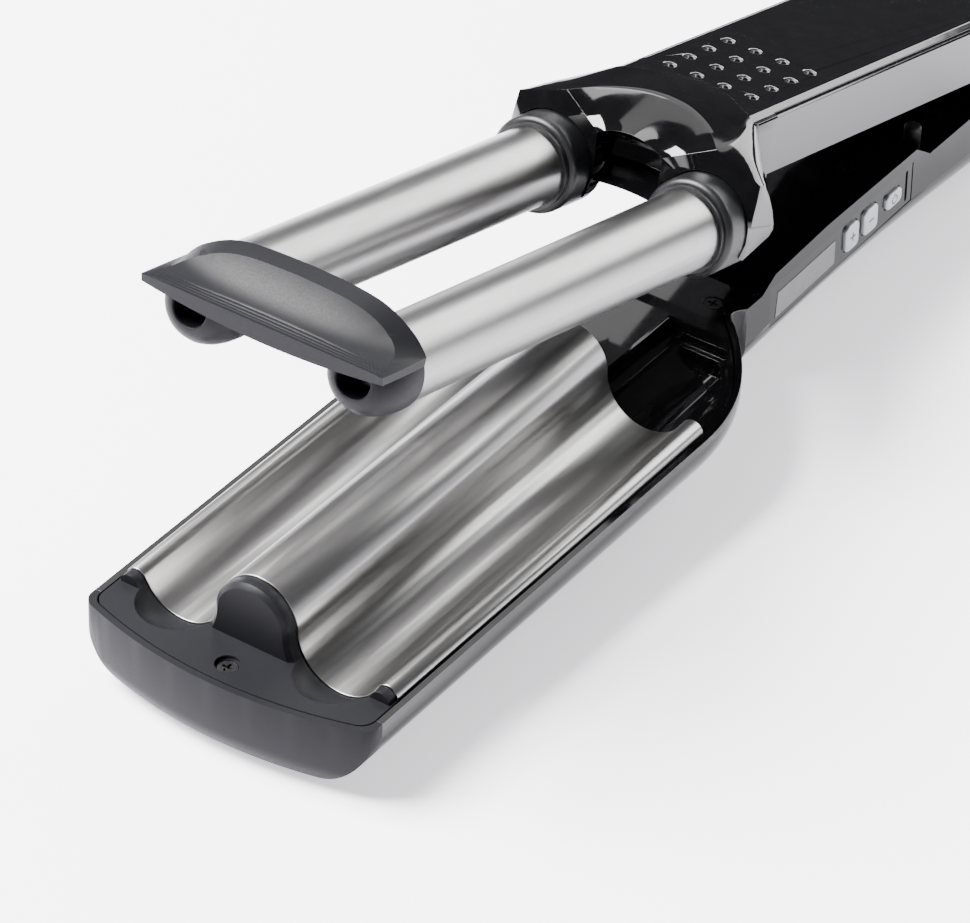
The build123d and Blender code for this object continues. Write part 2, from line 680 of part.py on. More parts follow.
def make_yoke_lower():
    """Floor of the yoke with a cradle under each collar, slotted to pass the deck's spine."""
    top = AXIS_Z + YOKE_SPLIT_REL - 0.02
    floor = slab_xy(yoke_plan(), top - YOKE_FLOOR_T, top)
    floor -= box((-9.0, 9.0), (100, 152), (0, top + 1))
    cradle = both_sides(rod_y(AXIS_X, AXIS_Z, COLLAR_R + 0.9, YOKE_FRONT_Y - 3.5, 134.5))
    cradle &= box((-40, 40), (100, 170), (-10, top))
    return collar_bores(floor + cradle)


def make_arm_shell():
    section = poly(
        (-HANDLE_HALF, ARM_BOTTOM_Z), (-HANDLE_HALF, ARM_EDGE_Z - 0.4), (-HANDLE_HALF + 0.4, ARM_EDGE_Z),
        (HANDLE_HALF - 0.4, ARM_EDGE_Z), (HANDLE_HALF, ARM_EDGE_Z - 0.4), (HANDLE_HALF, ARM_BOTTOM_Z),
    )
    shell = slab_xz(section, *ARM_Y)
    rear_low = [e for e in shell.edges().filter_by(Axis.X) if abs(e.center().Y - ARM_Y[1]) < 0.01]
    shell = fillet([e for e in rear_low if e.center().Z > 20], 6.0)
    inner = HANDLE_HALF - ARM_WALL
    shell -= box((-inner, inner), (ARM_Y[0] - 1, ARM_Y[1] - ARM_WALL), (0, ARM_EDGE_Z - 2.2))
    return shell - box((-18.9, 18.9), (ARM_Y[0] - 1, ARM_Y[1] - 6), (ARM_EDGE_Z - 0.6, 40))


def make_arm_top_panel():
    base = ARM_EDGE_Z - 0.55
    section = poly(
        (-18.7, base), (-18.7, ARM_EDGE_Z + 0.2), (-17.5, ARM_TOP_Z), (17.5, ARM_TOP_Z),
        (18.7, ARM_EDGE_Z + 0.2), (18.7, base),
    )
    panel = slab_xz(section, ARM_Y[0] + 0.1, ARM_Y[1] - 6.2)
    room = box((-18, 18), (ARM_Y[0] + 0.1, 200), (base + 0.2, 40))
    for x in BUMP_X:
        for y in BUMP_Y:
            panel += Pos(x, y, ARM_TOP_Z + BUMP_H - BUMP_R) * Sphere(BUMP_R) & room
    return panel


def make_arm_inner_cover():
    """Closes the arm from below and carries the two hinge lugs and the stop bosses."""
    inner = HANDLE_HALF - ARM_WALL - 0.1
    length = (ARM_Y[0] + 0.1, ARM_Y[1] - ARM_WALL - 0.1)
    cover = box((-inner, inner), length, (ARM_BOTTOM_Z, ARM_BOTTOM_Z + 1.8))
    lug = box((4.6, 11.2), (PIVOT_Y - LUG_R, PIVOT_Y + LUG_R), (PIVOT_Z, ARM_BOTTOM_Z + 1))
    lug += rod_x(PIVOT_Y, PIVOT_Z, LUG_R, 4.6, 11.2)
    cover += both_sides(lug)
    cover += both_sides(rod_z(BUMPER_X, BUMPER_Y, 2.6, BUMPER_TOP_Z + 0.5, ARM_BOTTOM_Z + 0.5))
    for x, y in ARM_SCREWS:
        cover += rod_z(x, y, 2.6, ARM_BOTTOM_Z + 1, ARM_EDGE_Z - 2.2)
        cover -= rod_z(x, y, 2.5, ARM_BOTTOM_Z - 1, ARM_BOTTOM_Z + 1.5)
        cover -= rod_z(x, y, 1.2, ARM_BOTTOM_Z - 1, ARM_EDGE_Z)
    return cover - rod_x(PIVOT_Y, PIVOT_Z, PIN_R + PIN_CLEARANCE, -20, 20)


def make_arm_screws():
    screws = []
    for x, y in ARM_SCREWS:
        upright = screw(x, y, 0, 10)
        screws.append(Pos(x, y, 0) * Rot(180, 0, 0) * Pos(-x, -y, 0) * upright)
    return [Pos(0, 0, ARM_BOTTOM_Z + 0.1) * piece for piece in screws]


def make_hinge_washers():
    washers = []
    for side in (-1, 1):
        ring = rod_x(PIVOT_Y, PIVOT_Z, 5.0, 11.3, 12.5) - rod_x(PIVOT_Y, PIVOT_Z, PIN_R + 0.02, 11, 13)
        washers.append(ring if side > 0 else mirrored(ring))
    return washers


# ---- write every node ----
def export_group(name, solids):
    export_node(name, Compound(children=solids))


def main():
    os.makedirs("parts", exist_ok=True)
    outer = lower_block(0)
    inner = lower_block(WALL)
    fitted = lower_block(WALL + DECK_GAP)
    shell = make_lower_shell(outer, inner)
    spans = {
        "front_shell": (-40, SHELL_JOINTS_Y[0]),
        "head_shell": SHELL_JOINTS_Y,
        "handle_shell": (SHELL_JOINTS_Y[1], REAR_Y + 20),
    }
    for name, span in spans.items():
        export_node(name, shell & box((-60, 60), span, (-40, 40)))
    export_node("wave_plate", make_wave_plate())
    export_node("tip_cap", make_tip_cap(fitted))
    export_node("tip_cap_screw", screw(0, CAP_SCREW_Y, RIM_Z - 1.0, 12))
    export_node("heater_carrier", make_heater_carrier())
    export_node("plate_heater_right", make_plate_heater())
    export_node("plate_heater_left", mirrored(make_plate_heater()))
    export_node("thermistor", make_thermistor())
    export_node("thermal_fuse", make_thermal_fuse())
    export_node("deck_cover", make_deck_cover(fitted))
    export_group("deck_screws", make_deck_screws())
    export_group("stop_bumpers", make_stop_bumpers())
    export_node("control_board", make_control_board())
    export_group("tact_switches", make_tact_switches())
    export_node("display_module", make_display_module())
    export_node("control_bezel", make_control_bezel())
    export_node("display_window", make_display_window())
    for name in BUTTONS:
        export_node(name, make_button(name))
    export_node("hinge_pin", make_hinge_pin())
    export_node("pin_cap_right", make_pin_cap())
    export_node("pin_cap_left", mirrored(make_pin_cap()))
    export_node("hinge_spring", make_hinge_spring())
    export_group("hinge_washers", make_hinge_washers())
    export_node("swivel_gland", make_swivel_gland())
    export_node("swivel_retainer", make_swivel_retainer())

    paired = {
        "barrel": make_barrel,
        "barrel_heater": make_barrel_heater,
        "collar": make_collar,
        "nose_cup": make_nose_cup,
        "nose_screw": make_nose_screw,
    }
    for name, make in paired.items():
        right = make()
        export_node(f"{name}_right", open_arm(right))
        export_node(f"{name}_left", open_arm(mirrored(right)))
    single = {
        "bridge": make_bridge,
        "yoke_upper": make_yoke_upper,
        "yoke_lower": make_yoke_lower,
        "arm_shell": make_arm_shell,
        "arm_top_panel": make_arm_top_panel,
        "arm_inner_cover": make_arm_inner_cover,
    }
    for name, make in single.items():
        export_node(name, open_arm(make()))
    export_group("arm_screws", [open_arm(piece) for piece in make_arm_screws()])


main()
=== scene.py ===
import json
import math

import bmesh
import bpy
from mathutils import Matrix, Vector


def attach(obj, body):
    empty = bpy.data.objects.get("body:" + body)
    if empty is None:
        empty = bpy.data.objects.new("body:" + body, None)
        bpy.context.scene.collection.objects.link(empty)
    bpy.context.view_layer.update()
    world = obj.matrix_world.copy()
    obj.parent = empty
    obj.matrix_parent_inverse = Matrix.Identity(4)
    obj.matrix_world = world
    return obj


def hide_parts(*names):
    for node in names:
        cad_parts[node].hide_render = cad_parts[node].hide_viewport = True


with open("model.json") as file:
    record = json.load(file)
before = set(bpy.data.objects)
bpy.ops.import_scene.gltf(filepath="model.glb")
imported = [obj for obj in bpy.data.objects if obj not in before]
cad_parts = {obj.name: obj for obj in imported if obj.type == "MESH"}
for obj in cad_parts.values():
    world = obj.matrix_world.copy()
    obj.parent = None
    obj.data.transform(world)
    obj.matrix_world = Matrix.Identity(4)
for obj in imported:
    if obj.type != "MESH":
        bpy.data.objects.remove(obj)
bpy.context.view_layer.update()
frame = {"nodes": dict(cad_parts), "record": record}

MM = 0.001
WELD_GAP = 0.02          # points of a mesh shaped here that are this close, mm, become one

# ---- the part's driving sizes, mm, in its drawing frame (y = 0 at the plate's front edge) ----
AXIS_X = 21.4            # barrel axes, closed
AXIS_Z = 11.04
PIVOT_Y = 279.0          # hinge pin
PIVOT_Z = -4.9
OPEN = math.radians(14.3)
SHIFT_Y = -144.2         # from the drawing frame to the row frame
SHIFT_Z = 14.5


def row(x, y, z):
    """Drawing frame in mm to the row frame in metres."""
    return Vector((x, y + SHIFT_Y, z + SHIFT_Z)) * MM


def opened(x, y, z):
    """A point of the upper arm, drawn closed, to its open place in the row frame."""
    dy = y - PIVOT_Y
    dz = z - PIVOT_Z
    return row(
        x,
        PIVOT_Y + dy * math.cos(OPEN) + dz * math.sin(OPEN),
        PIVOT_Z - dy * math.sin(OPEN) + dz * math.cos(OPEN),
    )


# ---- camera ----
CAMERA_PLACE = (569.1, -765.7, 769.9)     # mm, in the drawing frame
CAMERA_AZIMUTH = 33.76   # degrees
CAMERA_ELEVATION = 36.89
CAMERA_ROLL = 1.92
CAMERA_LENS = 207.9      # mm, on a 36 mm wide sensor


def make_camera():
    azimuth = math.radians(CAMERA_AZIMUTH)
    elevation = math.radians(CAMERA_ELEVATION)
    roll = math.radians(CAMERA_ROLL)
    back = Vector((
        math.sin(azimuth) * math.cos(elevation),
        -math.cos(azimuth) * math.cos(elevation),
        math.sin(elevation),
    ))
    right = (-back).cross(Vector((0, 0, 1))).normalized()
    up = right.cross(-back)
    turned_right = math.cos(roll) * right + math.sin(roll) * up
    turned_up = -math.sin(roll) * right + math.cos(roll) * up
    data = bpy.data.cameras.new("camera")
    data.sensor_width = 36.0
    data.lens = CAMERA_LENS
    data.clip_end = 20.0
    camera = bpy.data.objects.new("camera", data)
    turn = Matrix((turned_right, turned_up, back)).transposed().to_4x4()
    camera.matrix_world = Matrix.Translation(row(*CAMERA_PLACE)) @ turn
    bpy.context.scene.collection.objects.link(camera)
    bpy.context.scene.camera = camera


make_camera()


# ---- material helpers ----
def new_material(name):
    material = bpy.data.materials.new(name)
    material.use_nodes = True
    tree = material.node_tree
    tree.nodes.clear()
    output = tree.nodes.new("ShaderNodeOutputMaterial")
    shader = tree.nodes.new("ShaderNodeBsdfPrincipled")
    tree.links.new(shader.outputs["BSDF"], output.inputs["Surface"])
    return material, tree, shader


def object_coords(tree, scale):
    coords = tree.nodes.new("ShaderNodeTexCoord")
    mapping = tree.nodes.new("ShaderNodeMapping")
    mapping.inputs["Scale"].default_value = scale
    tree.links.new(coords.outputs["Object"], mapping.inputs["Vector"])
    return mapping.outputs["Vector"]


def noise(tree, scale, detail=4.0, rough=0.55, vector=(1, 1, 1)):
    node = tree.nodes.new("ShaderNodeTexNoise")
    node.inputs["Scale"].default_value = scale
    node.inputs["Detail"].default_value = detail
    node.inputs["Roughness"].default_value = rough
    tree.links.new(object_coords(tree, vector), node.inputs["Vector"])
    return node.outputs["Fac"]


def spread(tree, value, low, high, start=0.3, end=0.7):
    """A noise value as a number between low and high."""
    node = tree.nodes.new("ShaderNodeMapRange")
    node.inputs["From Min"].default_value = start
    node.inputs["From Max"].default_value = end
    node.inputs["To Min"].default_value = low
    node.inputs["To Max"].default_value = high
    tree.links.new(value, node.inputs["Value"])
    return node.outputs["Result"]


def two_tones(tree, value, dark, light, start=0.3, end=0.7):
    node = tree.nodes.new("ShaderNodeValToRGB")
    node.color_ramp.elements[0].position = start
    node.color_ramp.elements[0].color = (*dark, 1)
    node.color_ramp.elements[1].position = end
    node.color_ramp.elements[1].color = (*light, 1)
    tree.links.new(value, node.inputs["Fac"])
    return node.outputs["Color"]


def bump(tree, shader, height, strength, distance):
    node = tree.nodes.new("ShaderNodeBump")
    node.inputs["Strength"].default_value = strength
    node.inputs["Distance"].default_value = distance
    tree.links.new(height, node.inputs["Height"])
    tree.links.new(node.outputs["Normal"], shader.inputs["Normal"])


# ---- materials ----
def titanium():
    """Satin titanium coating, drawn along the barrels."""
    material, tree, shader = new_material("titanium")
    shader.inputs["Metallic"].default_value = 1.0
    streaks = noise(tree, 900, 3.0, 0.5, (1, 0.03, 1))
    broad = noise(tree, 60, 2.0, 0.5, (1, 0.12, 1))
    color = two_tones(tree, broad, (0.26, 0.256, 0.252), (0.28, 0.276, 0.272))
    tree.links.new(color, shader.inputs["Base Color"])
    tree.links.new(spread(tree, streaks, 0.30, 0.335), shader.inputs["Roughness"])
    shader.inputs["Anisotropic"].default_value = 0.35
    bump(tree, shader, streaks, 0.05, 0.00003)
    return material


def satin_grey():
    """Heat-resistant plastic with a fine spark-eroded grain."""
    material, tree, shader = new_material("satin_grey")
    grain = noise(tree, 2600, 3.0, 0.6)
    cloud = noise(tree, 45, 2.0, 0.5)
    color = two_tones(tree, cloud, (0.0050, 0.0050, 0.0064), (0.0060, 0.0060, 0.0076))
    tree.links.new(color, shader.inputs["Base Color"])
    tree.links.new(spread(tree, grain, 0.42, 0.52), shader.inputs["Roughness"])
    shader.inputs["Specular IOR Level"].default_value = 0.13
    bump(tree, shader, grain, 0.18, 0.00005)
    return material


def piano_black():
    """Polished black plastic with the slightest waviness and haze."""
    material, tree, shader = new_material("piano_black")
    haze = noise(tree, 220, 3.0, 0.5)
    dark = (0.0012, 0.0012, 0.0014)
    light = tuple(1.5 * c for c in dark)
    tree.links.new(two_tones(tree, haze, dark, light), shader.inputs["Base Color"])
    tree.links.new(spread(tree, haze, 0.045, 0.085), shader.inputs["Roughness"])
    shader.inputs["IOR"].default_value = 1.45
    bump(tree, shader, noise(tree, 55, 1.0, 0.4), 0.02, 0.0002)
    return material


def collar_black():
    material, tree, shader = new_material("collar_black")
    grain = noise(tree, 1800, 3.0, 0.6)
    color = two_tones(tree, grain, (0.0036, 0.0037, 0.0044), (0.0046, 0.0047, 0.0056))
    tree.links.new(color, shader.inputs["Base Color"])
    tree.links.new(spread(tree, grain, 0.34, 0.44), shader.inputs["Roughness"])
    shader.inputs["Specular IOR Level"].default_value = 0.32
    bump(tree, shader, grain, 0.15, 0.00004)
    return material


def bezel_grey():
    material, tree, shader = new_material("bezel_grey")
    haze = noise(tree, 300, 3.0, 0.5)
    color = two_tones(tree, haze, (0.004, 0.004, 0.005), (0.005, 0.005, 0.006))
    tree.links.new(color, shader.inputs["Base Color"])
    tree.links.new(spread(tree, haze, 0.10, 0.17), shader.inputs["Roughness"])
    return material


def window_grey():
    """Unlit display behind its clear window."""
    material, tree, shader = new_material("window_grey")
    cloud = noise(tree, 90, 2.0, 0.5)
    color = two_tones(tree, cloud, (0.088, 0.088, 0.082), (0.10, 0.10, 0.094))
    tree.links.new(color, shader.inputs["Base Color"])
    tree.links.new(spread(tree, cloud, 0.14, 0.22), shader.inputs["Roughness"])
    shader.inputs["Coat Weight"].default_value = 0.8
    return material


def button_silver():
    material, tree, shader = new_material("button_silver")
    grain = noise(tree, 2200, 2.0, 0.5)
    color = two_tones(tree, grain, (0.47, 0.495, 0.52), (0.52, 0.545, 0.57))
    tree.links.new(color, shader.inputs["Base Color"])
    tree.links.new(spread(tree, grain, 0.28, 0.38), shader.inputs["Roughness"])
    shader.inputs["Metallic"].default_value = 0.35
    bump(tree, shader, grain, 0.1, 0.00003)
    return material


def plain_part(name, dark, light, roughness, metallic=0.0, grain_scale=1500):
    """Small or inner parts: two close tones and a grain."""
    material, tree, shader = new_material(name)
    grain = noise(tree, grain_scale, 3.0, 0.6)
    tree.links.new(two_tones(tree, grain, dark, light), shader.inputs["Base Color"])
    gloss = spread(tree, grain, roughness - 0.06, roughness + 0.06)
    tree.links.new(gloss, shader.inputs["Roughness"])
    shader.inputs["Metallic"].default_value = metallic
    bump(tree, shader, grain, 0.15, 0.00004)
    return material


def floor_paper():
    material, tree, shader = new_material("floor_paper")
    cloud = noise(tree, 3, 2.0, 0.5)
    color = two_tones(tree, cloud, (0.865, 0.855, 0.915), (0.885, 0.875, 0.935))
    tree.links.new(color, shader.inputs["Base Color"])
    grain = noise(tree, 500, 3.0, 0.6)
    tree.links.new(spread(tree, grain, 0.7, 0.85), shader.inputs["Roughness"])
    shader.inputs["Emission Color"].default_value = (0.97, 0.965, 1.0, 1)
    shader.inputs["Emission Strength"].default_value = 1.0
    return material


MATERIALS = {
    "titanium": titanium(),
    "satin_grey": satin_grey(),
    "piano_black": piano_black(),
    "collar_black": collar_black(),
    "bezel_grey": bezel_grey(),
    "window_grey": window_grey(),
    "button_silver": button_silver(),
    "screw_steel": plain_part(
        "screw_steel", (0.05, 0.05, 0.052), (0.08, 0.08, 0.082), 0.34, 1.0),
    "ceramic": plain_part("ceramic", (0.24, 0.23, 0.215), (0.27, 0.26, 0.245), 0.6),
    "circuit_board": plain_part(
        "circuit_board", (0.004, 0.03, 0.012), (0.006, 0.04, 0.017), 0.35),
    "rubber_black": plain_part(
        "rubber_black", (0.004, 0.004, 0.004), (0.006, 0.006, 0.006), 0.62),
}

for part in frame["record"]["subparts"]:
    mesh = frame["nodes"][part["node"]].data
    mesh.materials.clear()
    mesh.materials.append(MATERIALS[part["material_slot"]])


# ---- floor and light ----
def make_floor():
    mesh = bpy.data.meshes.new("floor")
    half = 3.0
    corners = [(-half, -half, 0), (half, -half, 0), (half, half, 0), (-half, half, 0)]
    mesh.from_pydata(corners, [], [(0, 1, 2, 3)])
    mesh.materials.append(floor_paper())
    floor = bpy.data.objects.new("floor", mesh)
    floor.location.z = -0.0002
    bpy.context.scene.collection.objects.link(floor)


def area_light(name, place, target, size, power, tint):
    """A rectangle at place, in metres, that shines towards target."""
    data = bpy.data.lights.new(name, "AREA")
    data.shape = "RECTANGLE"
    data.size, data.size_y = size
    data.energy = power
    data.color = tint
    light = bpy.data.objects.new(name, data)
    light.location = place
    light.rotation_mode = "QUATERNION"
    light.rotation_quaternion = (Vector(target) - Vector(place)).to_track_quat("-Z", "Y")
    bpy.context.scene.collection.objects.link(light)


def make_world():
    world = bpy.data.worlds.new("studio")
    world.use_nodes = True
    background = world.node_tree.nodes["Background"]
    background.inputs["Color"].default_value = (0.93, 0.93, 1.0, 1)
    background.inputs["Strength"].default_value = 0.12
    bpy.context.scene.world = world


WARM = (1, 0.995, 0.99)
WHITE = (1, 1, 1)
LIGHTS = (               # name, place, target, width and height in metres, watts, tint
    ("key", (-0.85, -0.52, 1.32), (0, -0.05, 0), (0.95, 0.95), 215, WARM),
    ("scoop_glow", (-0.30, 0.50, 0.94), (0, 0, 0.07), (0.16, 0.52), 2.6, WHITE),
    ("rear_glow", (0.18, 1.24, 0.56), (0, 0, 0.06), (0.90, 0.52), 15, WHITE),
    ("plate_glow", (-0.62, 1.05, 1.05), (0, 0, 0.03), (1.0, 0.6), 4, WHITE),
    ("edge_glow", (0.80, 0.90, 0.62), (0, 0, 0.03), (0.34, 0.34), 5, WHITE),
)

make_floor()
make_world()
for light in LIGHTS:
    area_light(*light)


# ---- meshes shaped here ----
def smooth_curve(points, count):
    """Catmull-Rom curve through the points, sampled evenly by parameter."""
    before = 2 * Vector(points[0]) - Vector(points[1])
    after = 2 * Vector(points[-1]) - Vector(points[-2])
    knots = [before] + [Vector(p) for p in points] + [after]
    curve = []
    for step in range(count + 1):
        where = step / count * (len(points) - 1)
        i = min(int(where), len(points) - 2)
        t = where - i
        a, b, c, d = knots[i:i + 4]
        curve.append(0.5 * (2 * b + (c - a) * t + (2 * a - 5 * b + 4 * c - d) * t**2
                            + (3 * b - a - 3 * c + d) * t**3))
    return curve


def flip(points):
    """The same points on the other side of the centre plane."""
    return [Vector((-p[0], p[1], p[2])) for p in points]


def sheet(mesh, rows, both=False):
    """Quads between neighbouring rows of points; both adds the mirrored sheet."""
    sides = [rows, [flip(line) for line in rows]] if both else [rows]
    for side in sides:
        grid = [[mesh.verts.new(p) for p in line] for line in side]
        for low, high in zip(grid, grid[1:]):
            for i in range(len(low) - 1):
                mesh.faces.new((low[i], low[i + 1], high[i + 1], high[i]))


def edge_modifiers(piece, width, angle=28.0, segments=3):
    bevel = piece.modifiers.new("soft_edges", "BEVEL")
    bevel.width = width * MM
    bevel.segments = segments
    bevel.limit_method = "ANGLE"
    bevel.angle_limit = math.radians(angle)
    bevel.harden_normals = True


def new_piece(name, mesh, slot):
    data = bpy.data.meshes.new(name)
    mesh.to_mesh(data)
    mesh.free()
    data.materials.append(MATERIALS[slot])
    piece = bpy.data.objects.new(name, data)
    bpy.context.scene.collection.objects.link(piece)
    return piece


def arm_piece(name, mesh, slot, replaced, bevel):
    """Weld a mesh drawn closed, in mm above the barrel axes, and open it with the arm."""
    bmesh.ops.remove_doubles(mesh, verts=mesh.verts, dist=WELD_GAP)
    bmesh.ops.recalc_face_normals(mesh, faces=mesh.faces)
    for vert in mesh.verts:
        vert.co = opened(vert.co.x, vert.co.y, vert.co.z + AXIS_Z)
    for face in mesh.faces:
        face.smooth = True
    piece = new_piece(name, mesh, slot)
    edge_modifiers(piece, bevel)
    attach(piece, "upper_arm")
    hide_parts(*replaced)


# ---- bridge at the tips: arched band round a scooped top with grip lines ----
FRONT_Y = -14.8
GRIP_LINES = (-13.6, -12.6, -11.6, -10.6)
GRIP_DEPTH = 0.17
GRIP_WIDTH = 0.24
SCOOP_ROWS = 90


def scoop_point(rim, front, s):
    """From the rim down the steep wall of the scoop and out to its flat front edge."""
    point = rim.lerp(front, s)
    point.z = front.z + (rim.z - front.z) * (1 - s) ** 2.5
    for line in GRIP_LINES:
        dip = math.exp(-(((point.y - line) / GRIP_WIDTH) ** 2))
        point.z -= GRIP_DEPTH * dip * min(1, 8 * s)
    return point


def bridge_mesh():
    mesh = bmesh.new()
    arch = smooth_curve([(0, 1.5, 15.2), (11, 1.5, 14.85), (18, 1.5, 14.0), (23, 1.5, 12.35),
                         (27.8, 1.5, 9.6), (30.2, 1.5, 7.4), (31.4, 1.5, 5.9)], 24)
    side = smooth_curve([(31.4, 1.5, 5.9), (31.5, -6, 5.8), (31.5, FRONT_Y, 5.7)], 10)
    outline = arch + side[1:]
    count = len(outline) - 1
    rim = smooth_curve([(0, -3.0, 13.9), (10, -2.9, 13.5), (16, -2.8, 12.7), (21, -2.9, 11.2),
                        (25, -3.5, 9.2), (27.6, -5.2, 7.5), (28.9, -8.5, 6.4), (29.5, -12, 5.9),
                        (29.8, FRONT_Y, 5.7)], count)
    crown = [a.lerp(b, 0.45) + Vector((0, 0, 0.12)) for a, b in zip(outline, rim)]
    sheet(mesh, [outline, crown, rim], both=True)
    front = [Vector((29.8 * i / count, FRONT_Y, 5.7)) for i in range(count + 1)]
    rows = []
    for k in range(SCOOP_ROWS + 1):
        rows.append([scoop_point(a, b, k / SCOOP_ROWS) for a, b in zip(rim, front)])
    sheet(mesh, rows, both=True)
    edge = front + [outline[-1]]
    foot = [Vector((p.x, FRONT_Y + 0.5, 1.6 + 2.2 * (p.x / 31.5) ** 2)) for p in edge]
    sheet(mesh, [edge, foot], both=True)
    under = [Vector((p.x * 0.94, p.y, p.z - 1.9)) for p in arch[:-2]]
    under += [Vector((30.6, 1.5, 4.6)), Vector((31.3, 1.5, 3.8))]
    under += [Vector((p.x, p.y, 3.8)) for p in side[1:]]
    under[-1] = foot[-1].copy()
    sheet(mesh, [outline, under], both=True)
    sole = []
    for i in range(count + 1):
        t = i / count
        sole.append(Vector((31.5 * t, FRONT_Y + 0.5, 1.6 + 2.2 * t ** 2)))
    rows = [[a.lerp(b, k / 6) for a, b in zip(under, sole)] for k in range(7)]
    sheet(mesh, rows, both=True)
    return mesh


def cup_mesh(side):
    """Rounded nose of one barrel, turned about its axis and kept under the bridge's scoop."""
    mesh = bmesh.new()
    profile = [(0.0, -3.2), (4.25, -3.2), (4.3, -9.5), (4.55, -9.8), (5.3, -9.75), (6.4, -9.3),
               (7.6, -8.3), (8.8, -6.4), (9.55, -4.0), (9.9, -1.6), (10.0, 0.6), (10.0, 2.38),
               (8.3, 2.38)]
    around = [2 * math.pi * k / 64 for k in range(65)]
    rows = []
    for r, y in profile:
        roof = 4.9 + 3.0 * max(0.0, (y - FRONT_Y) / 11.8) ** 2.5
        if y > -2.5:     # behind the scoop nothing hangs over the cup
            roof = 20.0
        line = []
        for a in around:
            x = side * AXIS_X + r * math.cos(a)
            line.append(Vector((x, y, min(r * math.sin(a), roof))))
        rows.append(line)
    sheet(mesh, rows)
    return mesh


# ---- yoke: faceted black crown that carries both collars ----
HALF_STEPS = 16          # steps from the centre plane to the outer end of the crest
STATIONS = 16            # steps from the front edge back to the seam
SEAM_END_Y = 160.8
FLOOR_LIFT = -1.6        # the floor is raised at its middle, so that it clears the deck


def station_rows(front, middle, rear):
    """Rows from the yoke's front edge to its seam; flat beside the collars, rounded on top."""
    rows = []
    for step in range(STATIONS + 1):
        t = step / STATIONS
        line = []
        for i, (a, b, c) in enumerate(zip(front, middle, rear)):
            bow = 2 * b - (a + c) / 2
            curve = a * (1 - t) ** 2 + bow * 2 * t * (1 - t) + c * t**2
            flat = a.lerp(b, 2 * t) if t < 0.5 else b.lerp(c, 2 * t - 1)
            flatness = min(1.0, max(0.0, (i - HALF_STEPS - 1) / 6))
            line.append(curve.lerp(flat, flatness))
        rows.append(line)
    return rows


def arched(width, y, bow_y, z, bow_z=0.0):
    """Points from the centre plane out to x = width, bowed in y and z at the middle."""
    line = []
    for i in range(HALF_STEPS + 1):
        t = i / HALF_STEPS
        bow = 1 - t ** 2
        line.append(Vector((width * t, y + bow_y * bow, z + bow_z * bow)))
    return line


def vectors(*points):
    return [Vector(p) for p in points]


